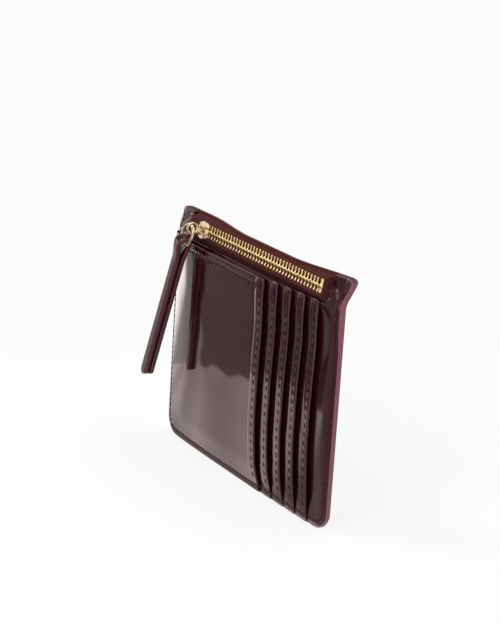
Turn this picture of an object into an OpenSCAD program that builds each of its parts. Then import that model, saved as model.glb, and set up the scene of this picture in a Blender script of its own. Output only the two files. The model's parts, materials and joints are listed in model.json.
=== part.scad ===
// Slim zip card wallet: stacked leather plies, five stepped card slots that open
// to the right, a metal zip along the top and a ring and strap puller.
// Front of the wallet faces -Y, +Z is up. The origin is on the bottom edge.

/* [Wallet] */
// Width of the wallet
wallet_w = 140; // [132:1:156]
// Height of the wallet
wallet_h = 107; // [101:1:120]
// Radius of the two bottom corners
corner_r = 9; // [5:0.5:14]
// Radius of the two top corners
top_corner_r = 2.5; // [1:0.5:4]

/* [Leather plies] */
// Thickness of the back panel
back_t = 1.1; // [0.9:0.05:1.4]
// Thickness of the base panel that carries the card slots
base_t = 1.1; // [0.9:0.05:1.4]
// Thickness of one card slot panel
card_t = 0.7; // [0.5:0.05:0.9]
// Thickness of the front pocket panel
front_t = 0.9; // [0.7:0.05:1.2]
// Thickness of the pocket lining
lining_t = 0.25; // [0.15:0.05:0.4]
// Share of its thickness that a card panel keeps at the bottom seam
skive = 0.3; // [0.2:0.05:1]

/* [Card slots] */
// Number of card slot panels under the front pocket
card_count = 4; // [2:1:5]
// Distance between two slot edges
slot_pitch = 9.4; // [8:0.2:10.4]
// Distance from the wallet's right side to the first slot edge
slot_margin = 14.4; // [13:0.2:18]
// Depth of one card slot, a little over the short side of a bank card
slot_depth = 56.4; // [55:0.2:60]

/* [Fullness] */
// How far the front plies stand proud of the flat stack
front_puff = 1.9; // [0.8:0.1:2.4]
// How far the back panel stands proud of the flat stack, which clears the slider
back_puff = 1.2; // [0.8:0.1:1.6]
// How far the middle of the top edge leans forward
mouth_tuck = 1.6; // [0.8:0.1:2]
// How far the left end of the top edge leans back from there
left_lean = 3.9; // [3:0.1:4.5]
// How far the right end of the top edge leans back from there
right_lean = 6.7; // [5:0.1:7.5]

/* [Zip] */
// Height of the strip between the pocket tops and the wallet's top edge
zip_strip = 12; // [11.5:0.5:14]
// Distance from the wallet's top edge to the middle of the zip
zip_drop = 5.2; // [5:0.1:6]
// Distance from the wallet's left side to the zip window
window_left = 12; // [10:0.5:13]
// Distance from the wallet's right side to the zip window
window_right = 10.5; // [9:0.5:13]
// Distance between two teeth of one row
tooth_pitch = 2.5; // [2.2:0.05:2.8]
// Thickness of the woven tape
tape_t = 0.6; // [0.4:0.05:0.7]
// Angle by which the zip faces upwards
zip_tilt = 12; // [8:1:12]

/* [Puller] */
// Mean radius of the big ring
ring_r = 4.8; // [4.4:0.1:5.6]
// Wire diameter of the big ring
ring_wire = 1.3; // [1:0.1:1.4]
// Length of the leather strap below the ring
strap_l = 69; // [40:1:74]
// Width of the leather strap
strap_w = 5.2; // [4:0.2:5.4]
// Thickness of one leaf of the strap
strap_t = 2.1; // [1.6:0.1:2.2]

/* [Hidden] */
$fn = 40;

leather = [0.27, 0.10, 0.13];
cloth = [0.36, 0.15, 0.18];
brass = [0.85, 0.68, 0.38];

// Levels of the flat seam, from the outer back face forwards
ply_gap = 0.05;
seam_back = back_t / 2;
back_lining_y = seam_back - back_t - ply_gap;
front_lining_y = back_lining_y - lining_t - ply_gap;
base_y = front_lining_y - lining_t - ply_gap;

// Heights
pocket_top = wallet_h - zip_strip;
zip_z = wallet_h - zip_drop;
roll_z = wallet_h - 0.14 * zip_strip;
tape_tuck = 4.5;
swell_run = 5;
top_hem = 0.6;

// Widths
side_x = wallet_w / 2;
first_slot_x = side_x - slot_margin;
front_edge_x = first_slot_x - card_count * slot_pitch;
window_x0 = -side_x + window_left;
window_x1 = side_x - window_right;
tape_bend = 1.5;
tape_side_tuck = 3;
tape_play = 0.1;

// Zip chain: depth of its middle plane and sizes of one tooth
tooth_w = 1;
tooth_d = 1.8;
tooth_reach = 3;
tooth_grip = 1.6;
head_overlap = 0.55;
jaw_play = 0.05;
slider_l = 7.6;
slider_half = 3.9;
plate_t = 0.9;
plate_play = 0.1;
plate_y = tooth_d / 2 + plate_play;
slider_out = plate_y + plate_t;
flat_reach = slider_half - 0.25;
slider_top = zip_z + slider_half * cos(zip_tilt);
zip_y = back_lining_y - lining_t + back_puff
    - mouth_tuck * ease((slider_top - pocket_top) / zip_strip)
    - 0.1 - slider_out * cos(zip_tilt) - slider_half * sin(zip_tilt);
stop_l = 1.6;
stop_d = 2.6;
stop_gap = 0.5;
slider_x0 = window_x0 + 13.6;
slider_mid = slider_x0 + slider_l / 2;
chain_x1 = window_x1 - tape_bend - stop_l - 0.2;
tooth_count = floor((chain_x1 - slider_x0 - slider_l * 0.35) / tooth_pitch);
chain_x0 = chain_x1 - tooth_count * tooth_pitch;

// Puller: bridge, link, ring and strap
bridge_w = 1.8;
bridge_l = 4.8;
bridge_wall = 0.7;
bridge_gap = 1.7;
bar_d = 1;
link_swing = 85;
link_reach = 4.8;
ring_seat = 0.2;
eye_r = 2.35;
eye_wire = 1;
arm_play = 0.4;
arm_turn = 6;
ring_lean = 16;
ring_hold = 48;
strap_round = 18;
strap_swing = 12;
loop_play = 0.2;
leaf_gap = 0.5;
loop_run = 9;

// ---------------------------------------------------------------- shape rules
// Smooth step from 0 to 1
function ease(t) = let (c = max(0, min(1, t))) c * c * (3 - 2 * c);

// The top strip leans forward in the middle and back towards both sides
function lean(x, z) =
    (left_lean * ease((-x / side_x - 0.115) / 0.57)
        + right_lean * ease((x / side_x - 0.415) / 0.63) - mouth_tuck)
    * ease((z - pocket_top) / zip_strip);

// Fullness fades to nothing at the side seams and the bottom seam
function side_fade(x) = 1 - pow(min(1, abs(x) / side_x), 6);
function bottom_fade(z) = ease(z / (0.4 * pocket_top));
function top_fade(x, z) =
    1 - (0.25 + 0.55 * ease(x / first_slot_x))
    * ease((z - 0.48 * pocket_top) / (0.52 * pocket_top));
function puff(x, z) = front_puff * side_fade(x) * bottom_fade(z) * top_fade(x, z);
function hollow(x, z) = back_puff * side_fade(x) * bottom_fade(z)
    * min(1, (wallet_h - z) / (wallet_h - roll_z));

// The front plies step forwards where the zip tape is sewn in between them
function swell(z) =
    (tape_t + ply_gap + 2 * tape_play) * ease((z - (pocket_top - tape_tuck - swell_run)) / swell_run);

// Card panels are skived thin where they run into the bottom seam
function card_ply(z) = card_t * (skive + (1 - skive) * ease(z / 14));

// Share of the card stack that the front pocket rides over, from the left seam
stack_x = front_edge_x - slot_depth + slot_pitch;
function shelf(x) = ease((x + side_x) / (stack_x + side_x));

// Face depths at a place on the wallet: y of each ply
function behind(x, z, y) = y + lean(x, z) + hollow(x, z);
function ahead(x, z, y) = y + lean(x, z) - puff(x, z);
function base_back(x, z) = ahead(x, z, base_y) - swell(z);
function base_front(x, z) = base_back(x, z) - base_t;
function card_back(x, z, k) =
    base_front(x, z) - ply_gap - (k - 1) * (card_ply(z) + ply_gap);
function card_front(x, z, k) = card_back(x, z, k) - card_ply(z);
function front_back(x, z) =
    base_front(x, z) - ply_gap - card_count * (card_ply(z) + ply_gap) * shelf(x);
function front_front(x, z) = front_back(x, z) - front_t;

// Middle plane of the zip, and of the tape that leaves it for the leather
function zip_plane(z) = zip_y + (z - zip_z) * tan(zip_tilt);
flat_rise = flat_reach * cos(zip_tilt);
function window_end(x) =
    ease(1 - min(x - window_x0, window_x1 - x) / tape_bend);
function upper_tape_seat(x, z) =
    behind(x, z, back_lining_y - lining_t - ply_gap - tape_play - tape_t / 2);
function upper_tape(x, z) =
    let (seat = upper_tape_seat(x, z),
         blend = max(ease((z - zip_z - flat_rise) / (wallet_h - top_hem - zip_z - flat_rise)),
                     window_end(x)))
    zip_plane(z) * (1 - blend) + seat * blend;
function lower_tape_seat(x, z) = ahead(x, z, base_y - tape_play - tape_t / 2);
function lower_tape(x, z) =
    let (blend = max(ease((zip_z - flat_rise - z) / (zip_z - flat_rise - pocket_top)),
                     window_end(x)))
    zip_plane(z) * (1 - blend) + lower_tape_seat(x, z) * blend;

// ---------------------------------------------------------------- grid lines
function sorted(v) = len(v) < 2 ? v :
    let (p = v[floor(len(v) / 2)])
    concat(sorted([for (a = v) if (a < p - 0.2) a]), [p],
           sorted([for (a = v) if (a > p + 0.2) a]));
function between(v, lo, hi) = [for (a = v) if (a >= lo - 0.001 && a <= hi + 0.001) a];

arc_x = [for (a = [0:18:90]) side_x - corner_r + corner_r * sin(a)];
slot_lines = [for (i = [0:ceil((wallet_w - slot_margin) / slot_pitch)])
    let (x = first_slot_x - i * slot_pitch) if (x > -side_x + corner_r + 1) x];
x_lines = sorted(concat(arc_x, [for (x = arc_x) -x], slot_lines, [window_x0, window_x1]));
pocket_z = concat(
    [for (t = [0, 0.025, 0.06, 0.11, 0.18, 0.27, 0.38, 0.5, 0.63, 0.76, 0.84]) t * pocket_top],
    [for (z = [tape_tuck + swell_run, tape_tuck, 0]) pocket_top - z]);
strip_z = [for (t = [0.2, 0.4, 0.6, 0.75]) pocket_top + t * zip_strip];
all_z = concat(pocket_z, strip_z, [roll_z, wallet_h]);

// Rows rise over the rounded bottom corners and drop at the top corners
function corner_rise(x) =
    let (d = abs(x) - (side_x - corner_r))
    d <= 0 ? 0 : corner_r - sqrt(max(0, corner_r * corner_r - d * d));
function corner_drop(x) =
    let (d = abs(x) - (side_x - top_corner_r))
    d <= 0 ? 0 : top_corner_r - sqrt(max(0, top_corner_r * top_corner_r - d * d));
function row(x, z) =
    z + corner_rise(x) * (1 - ease(z / (0.45 * pocket_top)))
    - corner_drop(x) * ease((z - pocket_top) / zip_strip);

// One ply: a grid of cells between a front and a back surface. keep(x, z) says
// which cells belong to it, so a window can be left open.
module ply(xs, zs, front, back, keep = function (x, z) true) {
    nx = len(xs);
    nz = len(zs);
    count = nx * nz;
    pts = [for (side = [front, back]) for (x = xs) for (z = zs)
        let (h = row(x, z)) [x, side(x, h), h]];
    inside = [for (i = [0:nx - 2]) [for (j = [0:nz - 2])
        keep((xs[i] + xs[i + 1]) / 2, (zs[j] + zs[j + 1]) / 2)]];
    function has(i, j) =
        i >= 0 && j >= 0 && i < nx - 1 && j < nz - 1 && inside[i][j];
    function f(i, j) = i * nz + j;
    function b(i, j) = count + i * nz + j;
    faces = [for (i = [0:nx - 2]) for (j = [0:nz - 2]) if (has(i, j)) each concat(
        [[f(i, j), f(i, j + 1), f(i + 1, j + 1)], [f(i, j), f(i + 1, j + 1), f(i + 1, j)]],
        [[b(i, j), b(i + 1, j + 1), b(i, j + 1)], [b(i, j), b(i + 1, j), b(i + 1, j + 1)]],
        has(i - 1, j) ? [] : rim(f(i, j + 1), f(i, j), b(i, j), b(i, j + 1)),
        has(i + 1, j) ? [] : rim(f(i + 1, j), f(i + 1, j + 1), b(i + 1, j + 1), b(i + 1, j)),
        has(i, j - 1) ? [] : rim(f(i, j), f(i + 1, j), b(i + 1, j), b(i, j)),
        has(i, j + 1) ? [] : rim(f(i + 1, j + 1), f(i, j + 1), b(i, j + 1), b(i + 1, j + 1))
    )];
    polyhedron(pts, faces, convexity = 6);
}
function rim(p, q, r, s) = [[p, q, r], [p, r, s]];

// ---------------------------------------------------------------- leather
module back_panel() color(leather)
    ply(x_lines, all_z, function (x, z) behind(x, z, seam_back - back_t),
        function (x, z) behind(x, z, seam_back));

module back_lining() color(cloth)
    ply(x_lines, all_z, function (x, z) behind(x, z, back_lining_y - lining_t),
        function (x, z) behind(x, z, back_lining_y));

module front_lining() color(cloth)
    ply(x_lines, pocket_z, function (x, z) ahead(x, z, front_lining_y - lining_t),
        function (x, z) ahead(x, z, front_lining_y));

module base_panel() color(leather)
    ply(x_lines, all_z, function (x, z) base_front(x, z), function (x, z) base_back(x, z),
        function (x, z) z < pocket_top || x < window_x0 || x > window_x1);

module card_panel(k) color(leather)
    let (edge = first_slot_x - (k - 1) * slot_pitch)
    ply(concat([edge - slot_depth], between(x_lines, edge - slot_depth + 0.5, edge)),
        pocket_z, function (x, z) card_front(x, z, k), function (x, z) card_back(x, z, k));

module front_pocket() color(leather)
    ply(between(x_lines, -side_x, front_edge_x), pocket_z,
        function (x, z) front_front(x, z), function (x, z) front_back(x, z));

// ---------------------------------------------------------------- zip
tape_lines = sorted(concat(
    between(x_lines, window_x0 + tape_bend, window_x1 - tape_bend),
    [for (d = [-tape_side_tuck, 0, tape_bend / 3, tape_bend * 2 / 3, tape_bend])
        each [window_x0 + d, window_x1 - d]]));

module upper_zip_tape() color(cloth)
    ply(tape_lines,
        [zip_z + tooth_grip * cos(zip_tilt), zip_z + flat_rise,
            (zip_z + flat_rise + wallet_h - top_hem) / 2, wallet_h - top_hem],
        function (x, z) upper_tape(x, z) - tape_t / 2,
        function (x, z) upper_tape(x, z) + tape_t / 2);

module lower_zip_tape() color(cloth)
    ply(tape_lines,
        [pocket_top - tape_tuck, pocket_top,
            for (z = [flat_rise + 1.2, flat_rise, tooth_grip * cos(zip_tilt)]) zip_z - z],
        function (x, z) lower_tape(x, z) - tape_t / 2,
        function (x, z) lower_tape(x, z) + tape_t / 2);

// Frame of the zip: x along the chain, z across it towards the top edge
module at_zip(x = 0) translate([x, zip_y, zip_z]) rotate([-zip_tilt, 0, 0]) children();

// One tooth: a leg that grips the tape edge and a head that passes the middle
module tooth() {
    difference() {
        rotate([90, 0, 0])
            linear_extrude(tooth_d, center = true)
                polygon([
                    [-0.30, -head_overlap], [0.30, -head_overlap],
                    [0.55 * tooth_w, -0.25], [0.55 * tooth_w, 0.15],
                    [0.36 * tooth_w, 0.75], [0.5 * tooth_w, 1.4],
                    [0.5 * tooth_w, tooth_reach - 0.25], [0.3 * tooth_w, tooth_reach],
                    [-0.3 * tooth_w, tooth_reach], [-0.5 * tooth_w, tooth_reach - 0.25],
                    [-0.5 * tooth_w, 1.4], [-0.36 * tooth_w, 0.75],
                    [-0.55 * tooth_w, 0.15], [-0.55 * tooth_w, -0.25]
                ]);
        translate([-tooth_w, -tape_t / 2 - jaw_play, tooth_grip - 2 * jaw_play])
            cube([2 * tooth_w, tape_t + 2 * jaw_play, tooth_reach]);
    }
}

module upper_zip_teeth() color(brass)
    for (i = [0:tooth_count - 1]) at_zip(chain_x0 + i * tooth_pitch) tooth();

module lower_zip_teeth() color(brass)
    for (i = [0:tooth_count - 1])
        at_zip(chain_x0 + (i + 0.5) * tooth_pitch) mirror([0, 0, 1]) tooth();

// A staple bent round the edge of one tape
module stop_staple(reach) {
    difference() {
        translate([-stop_l / 2, -stop_d / 2, 0.35])
            cube([stop_l, stop_d, reach - 0.35]);
        translate([-stop_l, -tape_t / 2 - jaw_play, tooth_grip - 2 * jaw_play])
            cube([2 * stop_l, tape_t + 2 * jaw_play, reach]);
    }
}

module zip_top_stops() color(brass)
    for (side = [0, 1])
        at_zip(slider_x0 - stop_gap - stop_l / 2) mirror([0, 0, side]) stop_staple(tooth_reach);

module zip_bottom_stop() color(brass)
    at_zip(chain_x1 + stop_l / 2) difference() {
        translate([-stop_l / 2, -stop_d / 2, -tooth_reach])
            cube([stop_l, stop_d, 2 * tooth_reach]);
        for (side = [0, 1]) mirror([0, 0, side])
            translate([-stop_l, -tape_t / 2 - jaw_play, tooth_grip - 2 * jaw_play])
                cube([2 * stop_l, tape_t + 2 * jaw_play, tooth_reach]);
    }

// ---------------------------------------------------------------- slider
// Outline of a slider plate, seen from the front: wide shoulders on the left,
// where the rows part, and a narrower tail on the right
module plate_outline() {
    intersection() {
        union() {
            translate([slider_l * 0.34, 0]) circle(r = slider_half);
            translate([slider_l * 0.3, -slider_half * 0.92])
                square([slider_l * 0.7 - 0.8, slider_half * 1.84]);
            translate([slider_l - 1.4, -slider_half * 0.7])
                square([1.4, slider_half * 1.4]);
        }
        translate([0, -slider_half]) square([slider_l, 2 * slider_half]);
    }
}

// A plate with its two side flanges, which close over the tape from one side
module slider_plate() {
    rail_t = 0.35;
    rail_z = slider_half * 0.92 - rail_t;
    rotate([90, 0, 0]) translate([0, 0, plate_y]) linear_extrude(plate_t) plate_outline();
    for (side = [0, 1]) mirror([0, 0, side])
        translate([slider_l * 0.3, -plate_y - 0.3, rail_z])
            cube([slider_l * 0.7 - 0.8, plate_y + 0.3 - tape_t / 2 - 0.2, rail_t]);
}

module slider_front_plate() color(brass) at_zip(slider_x0) slider_plate();

module slider_back_plate() color(brass) at_zip(slider_x0) mirror([0, 1, 0]) slider_plate();

// Arched strap on the front plate that the link hangs under
module slider_bridge() color(brass)
    at_zip(slider_mid) translate([0, -slider_out - 0.02, 0]) rotate([0, 0, 180])
        translate([0, 0, -bridge_w / 2]) linear_extrude(bridge_w) difference() {
            bridge_side(bridge_l / 2, bridge_gap + bridge_wall);
            bridge_side(bridge_l / 2 - bridge_wall, bridge_gap);
        }

// Side view of the bridge: a flat arch with round shoulders
module bridge_side(half, rise) {
    intersection() {
        union() {
            translate([-half + rise * 0.6, 0]) square([2 * half - rise * 1.2, rise]);
            for (s = [-1, 1]) translate([s * (half - rise * 0.6), 0])
                intersection() {
                    circle(r = rise);
                    translate([-rise * 0.6, 0]) square([rise * 1.2, rise]);
                }
        }
        translate([-half, 0]) square([2 * half, rise]);
    }
}

// ---------------------------------------------------------------- puller
pivot_out = slider_out + bridge_gap / 2;

// Frame of the link: its pivot bar lies along z and it reaches out along -x
module at_link() at_zip(slider_mid) translate([0, -pivot_out, 0])
    rotate([0, 0, link_swing]) children();

module pull_link() color(brass) at_link() {
    arm_z = bridge_w / 2 + arm_play + bar_d / 2;
    cylinder(d = bar_d, h = 2 * arm_z, center = true);
    for (s = [-1, 1]) {
        translate([0, 0, s * arm_z]) sphere(d = bar_d);
        translate([0, 0, s * arm_z]) rotate([0, -90 - s * arm_turn, 0])
            cylinder(d = bar_d, h = link_reach - eye_r * 0.78);
    }
    translate([-link_reach, 0, 0]) rotate([90, 0, 0])
        rotate_extrude() translate([eye_r, 0]) circle(d = eye_wire);
}

// Points of the puller, worked out from the slider outwards
function zip_point(x, out, up) = [
    x, zip_y - out * cos(zip_tilt) + up * sin(zip_tilt),
    zip_z + out * sin(zip_tilt) + up * cos(zip_tilt)];
eye_point = zip_point(slider_mid - (link_reach - ring_seat) * cos(link_swing),
                      pivot_out + (link_reach - ring_seat) * sin(link_swing), 0);
ring_up = [0, sin(ring_lean), cos(ring_lean)];
ring_centre = eye_point - ring_r * (cos(ring_hold) * [1, 0, 0] + sin(ring_hold) * ring_up);

module at_ring() translate(ring_centre) rotate([-ring_lean, 0, 0]) children();

module pull_ring() color(brass) at_ring() rotate([90, 0, 0])
    rotate_extrude() translate([ring_r, 0]) circle(d = ring_wire);

// Frame of the strap: the wire lies along x and the strap hangs along -z
module at_strap() at_ring() rotate([0, strap_round, 0]) translate([0, 0, -ring_r])
    rotate([strap_swing, 0, 0]) children();

// Height of the ring's wire above its lowest point at the strap's two edges
wire_rise = ring_r - sqrt(ring_r * ring_r - strap_w * strap_w / 4);
loop_r = 0.6 * ring_wire + loop_play + wire_rise / 2;
loop_z = wire_rise / 2;

// Side view of the folded strap: a loop over the wire and two hanging leaves
module strap_side() {
    lie = leaf_gap / 2;
    function arc(r, turn) = [for (a = turn) [r * cos(a), loop_z + r * sin(a)]];
    polygon(concat(
        arc(loop_r + strap_t, [0:10:180]),
        [[-lie - strap_t, -loop_run], [-lie - strap_t, -strap_l], [-lie, -strap_l],
            [-lie, -loop_run]],
        arc(loop_r, [180:-15:0]),
        [[lie, -loop_run], [lie, -strap_l], [lie + strap_t, -strap_l],
            [lie + strap_t, -loop_run]]
    ));
}

// Front view of the strap: parallel sides and a round tip
module strap_face() {
    translate([-strap_w / 2, -strap_l + strap_w / 2])
        square([strap_w, strap_l + loop_z + loop_r + strap_t - strap_w / 2 + 1]);
    translate([0, -strap_l + strap_w / 2]) circle(d = strap_w);
}

module pull_strap() color(leather) at_strap() intersection() {
    rotate([90, 0, 90]) linear_extrude(strap_w, center = true) strap_side();
    rotate([90, 0, 0]) linear_extrude(4 * (loop_r + strap_t), center = true) strap_face();
}

back_panel();
back_lining();
front_lining();
base_panel();
card_panel(1);  // card_panel_1
card_panel(2);  // card_panel_2
card_panel(3);  // card_panel_3
card_panel(4);  // card_panel_4
front_pocket();
upper_zip_tape();
lower_zip_tape();
upper_zip_teeth();
lower_zip_teeth();
zip_top_stops();
zip_bottom_stop();
slider_front_plate();
slider_back_plate();
slider_bridge();
pull_link();
pull_ring();
pull_strap();
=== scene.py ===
import bpy
import json
import math
import numpy as np
from mathutils import Matrix, Vector
from mathutils.bvhtree import BVHTree


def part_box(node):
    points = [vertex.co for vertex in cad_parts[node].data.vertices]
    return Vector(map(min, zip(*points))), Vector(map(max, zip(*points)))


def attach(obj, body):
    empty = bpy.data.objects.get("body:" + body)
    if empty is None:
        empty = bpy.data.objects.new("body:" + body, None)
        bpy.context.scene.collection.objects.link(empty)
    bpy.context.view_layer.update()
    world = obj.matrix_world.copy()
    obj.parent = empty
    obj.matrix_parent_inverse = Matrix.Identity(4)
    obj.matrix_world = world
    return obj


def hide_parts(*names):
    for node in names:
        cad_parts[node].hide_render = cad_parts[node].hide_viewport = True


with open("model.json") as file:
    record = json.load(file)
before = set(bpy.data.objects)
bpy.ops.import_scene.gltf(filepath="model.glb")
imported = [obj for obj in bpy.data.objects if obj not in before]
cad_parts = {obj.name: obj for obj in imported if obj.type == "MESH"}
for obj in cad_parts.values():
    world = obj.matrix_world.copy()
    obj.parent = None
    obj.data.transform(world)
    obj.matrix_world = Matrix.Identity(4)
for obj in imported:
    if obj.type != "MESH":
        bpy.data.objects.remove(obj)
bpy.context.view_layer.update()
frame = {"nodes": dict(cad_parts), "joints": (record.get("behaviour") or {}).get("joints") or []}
print("frame loaded:", len(frame["nodes"]), "CAD nodes")

mm = 0.001  # shapes are worked out in millimetres and stored in metres
view = dict(width=500, height=625)

# where things show in the photograph, in its pixels: x from the left, y from the top
imagePoints = {
    "object left": (141.0, None),
    "object right": (359.0, None),
    "object top": (None, 205.0),
    "object bottom": (None, 524.0),
    "top left corner": (191.5, 205.0),
    "top right corner": (359.0, 283.0),
    "right side, upper": (346.5, 332.0),
    "right side, lower": (334.5, 464.0),
    "strap tip": (146.5, 374.0),
    "ring": (188.5, 233.0),
    "link": (193.0, 229.0),
    "slider": (205.0, 231.0),
    "last upper tooth": (325.4, 279.6),
    "pocket top seam": (230.0, 272.0),
    "slot seam": (258.6, 335.5),
    "bottom seam": (219.3, 460.5),
    "right seam": (326.6, 447.0),
    "strap tack": (176.5, 257.0),
}

cameraSetup = dict(azimuth=59.76, elevation=15.27, roll=-3.73, focal=2018.28, distance=871.31,
                   aim=(0.0, -0.95, 53.5), slide=(0.65, 20.89), sensor=36.0, near=0.05, far=20.0)
rayRun = dict(near=0.7, far=1.0, steps=301)  # where a ray that misses its carrier is searched


def addCamera():
    # it looks along its azimuth and elevation, turned by roll; slide moves it across its view
    c = cameraSetup
    az, el, roll = (math.radians(c[k]) for k in ("azimuth", "elevation", "roll"))
    back = Vector((math.sin(az) * math.cos(el), -math.cos(az) * math.cos(el), math.sin(el)))
    forward = -back
    right = forward.cross(Vector((0, 0, 1))).normalized()
    down = forward.cross(right)
    across = math.cos(roll) * right + math.sin(roll) * down
    below = -math.sin(roll) * right + math.cos(roll) * down
    shift = c["slide"][0] * across + c["slide"][1] * below + c["distance"] * forward
    data = bpy.data.cameras.new("camera")
    data.sensor_fit = "AUTO"
    data.sensor_width = c["sensor"]
    data.lens = c["focal"] * c["sensor"] / max(view.values())
    data.clip_start, data.clip_end = c["near"], c["far"]
    obj = bpy.data.objects.new("camera", data)
    matrix = Matrix((across, -below, -forward)).transposed().to_4x4()
    matrix.translation = (Vector(c["aim"]) - shift) * mm
    obj.matrix_world = matrix
    bpy.context.scene.collection.objects.link(obj)
    bpy.context.scene.camera = obj
    return obj


camera = addCamera()
lensReach = max(view.values()) * camera.data.lens / camera.data.sensor_width


def worldPoints(obj):
    co = np.empty(len(obj.data.vertices) * 3)
    obj.data.vertices.foreach_get("co", co)
    matrix = np.array(obj.matrix_world)
    return co.reshape(-1, 3) @ matrix[:3, :3].T + matrix[:3, 3]


def carrier(*objects):  # one search tree over finished pieces, as they are placed
    points, faces = [], []
    for obj in objects:
        faces += [[len(points) + i for i in p.vertices] for p in obj.data.polygons]
        points += worldPoints(obj).tolist()
    return BVHTree.FromPolygons(points, faces)


def placeAt(tree, name):
    # the ray through an image point meets the carrier; where it misses, the carrier's
    # place nearest the ray is taken
    x, y = imagePoints[name]
    local = Vector((x - view["width"] / 2, view["height"] / 2 - y, -lensReach))
    origin = camera.matrix_world.translation
    way = (camera.matrix_world.to_3x3() @ local).normalized()
    hit = tree.ray_cast(origin, way)[0]
    if hit is None:
        run = np.linspace(rayRun["near"], rayRun["far"], rayRun["steps"])
        hit = min((tree.find_nearest(origin + way * t) for t in run), key=lambda found: found[3])[0]
    return np.array(hit) / mm


def shownAt(points):  # image x and y of places given in metres
    matrix = np.array(camera.matrix_world.inverted())
    local = np.asarray(points) @ matrix[:3, :3].T + matrix[:3, 3]
    reach = lensReach / -local[:, 2]
    return np.stack([view["width"] / 2 + local[:, 0] * reach,
                     view["height"] / 2 - local[:, 1] * reach], -1)


print("camera ready")


def cadSpan(node, axis):
    return tuple(corner[axis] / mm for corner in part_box(node))


def ease(t):  # smooth step from 0 to 1
    c = np.clip(t, 0.0, 1.0)
    return c * c * (3.0 - 2.0 * c)


def bell(t):  # smooth hump over t from -1 to 1
    return 1.0 - ease(np.abs(t))


# the solids' own measures are read from the frame
sideX = cadSpan("back_panel", 0)[1]
topZ = cadSpan("back_panel", 2)[1]
pocketTop = cadSpan("front_pocket", 2)[1]
frontEdge = cadSpan("front_pocket", 0)[1]
cards = (1, 2, 3, 4)  # from the right
slotTails, slotEdges = zip(*[cadSpan("card_panel_%d" % k, 0) for k in cards])

# skive thins the card plies towards the bottom; each lean is a side, how far back it goes,
# and from which share of the half width over which share
plies = dict(
    back=1.1, base=1.1, card=0.7, front=0.9, lining=0.25, gap=0.05, skive=0.3, skiveRun=14.0,
    cornerRadius=9.0, cornerShare=0.45, topCornerRadius=2.5, roll=0.14, mouthTuck=1.6,
    leans=((-1, 3.9, 0.115, 0.57), (1, 6.7, 0.415, 0.63)))
bulge = dict(front=1.9, back=1.2, sidePower=6, bottomShare=0.4, fromShare=0.48, drop=0.25,
             rightDrop=0.55)
tapeRoom = dict(depth=0.85, tuck=4.5, run=18.0)
zipWindow = dict(left=-58.0, right=59.5, tilt=math.radians(12.0), middleZ=101.8, tape=0.6,
                 bend=1.5)

seamBack = plies["back"] / 2
backLiningY = seamBack - plies["back"] - plies["gap"]
frontLiningY = backLiningY - plies["lining"] - plies["gap"]
baseY = frontLiningY - plies["lining"] - plies["gap"]
rollZ = topZ - plies["roll"] * (topZ - pocketTop)


def lean(x, z):  # the top strip is tucked in at the middle and leans back towards both sides
    left, right = (far * ease((way * x / sideX - start) / run)
                   for way, far, start, run in plies["leans"])
    return (left + right - plies["mouthTuck"]) * ease((z - pocketTop) / (topZ - pocketTop))


def sideFade(x):
    return 1.0 - np.minimum(1.0, np.abs(x) / sideX) ** bulge["sidePower"]


def bottomFade(z):
    return ease(z / (bulge["bottomShare"] * pocketTop))


def puff(x, z):  # how far the front plies stand proud of the flat stack
    b = bulge
    drop = b["drop"] + b["rightDrop"] * ease(x / slotEdges[0])
    low = b["fromShare"]
    top = 1.0 - drop * ease((z - low * pocketTop) / ((1.0 - low) * pocketTop))
    return b["front"] * sideFade(x) * bottomFade(z) * top


def hollow(x, z):  # how far the back panel stands proud of the flat stack
    return (bulge["back"] * sideFade(x) * bottomFade(z)
            * np.clip((topZ - z) / (topZ - rollZ), 0.0, 1.0))


def swell(z):  # room for the zip tape that is sewn in between the plies
    t = tapeRoom
    return t["depth"] * ease((z - (pocketTop - t["tuck"] - t["run"])) / t["run"])


def cardPly(z):
    skive = plies["skive"]
    return plies["card"] * (skive + (1.0 - skive) * ease(z / plies["skiveRun"]))


# how the front pocket climbs onto the card stack: its slope at each x, low down and high up
pocketRise = dict(x=(-70, -62, -54, -48, -44, -36, -28, -22), fromZ=45.0, toZ=78.0,
                  low=(0.100, 0.115, 0.110, 0.055, 0.035, 0.040, 0.004, 0.0),
                  high=(0.120, 0.140, 0.130, 0.060, -0.005, 0.0, 0.0, 0.0))


def climb(slopes):  # the running sum of a slope that is straight between its knots, as a share
    x = np.linspace(pocketRise["x"][0], pocketRise["x"][-1], 961)
    s = np.interp(x, pocketRise["x"], slopes)
    height = np.concatenate([[0.0], np.cumsum((s[1:] + s[:-1]) / 2)])
    return x, height / height[-1]


climbLow, climbHigh = climb(pocketRise["low"]), climb(pocketRise["high"])


def shelf(x, z):  # share of the card stack that the front pocket rides over
    upper = ease((z - pocketRise["fromZ"]) / (pocketRise["toZ"] - pocketRise["fromZ"]))
    return np.interp(x, *climbLow) * (1.0 - upper) + np.interp(x, *climbHigh) * upper


def behind(x, z, y):
    return y + lean(x, z) + hollow(x, z)


def ahead(x, z, y):
    return y + lean(x, z) - puff(x, z)


def baseBack(x, z):
    return ahead(x, z, baseY) - swell(z)


def baseFront(x, z):
    return baseBack(x, z) - plies["base"]


def cardBack(x, z, k):
    gap = plies["gap"]
    return baseFront(x, z) - gap - (k - 1) * (cardPly(z) + gap)


def frontBack(x, z):
    gap = plies["gap"]
    return baseFront(x, z) - gap - len(cards) * (cardPly(z) + gap) * shelf(x, z)


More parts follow.
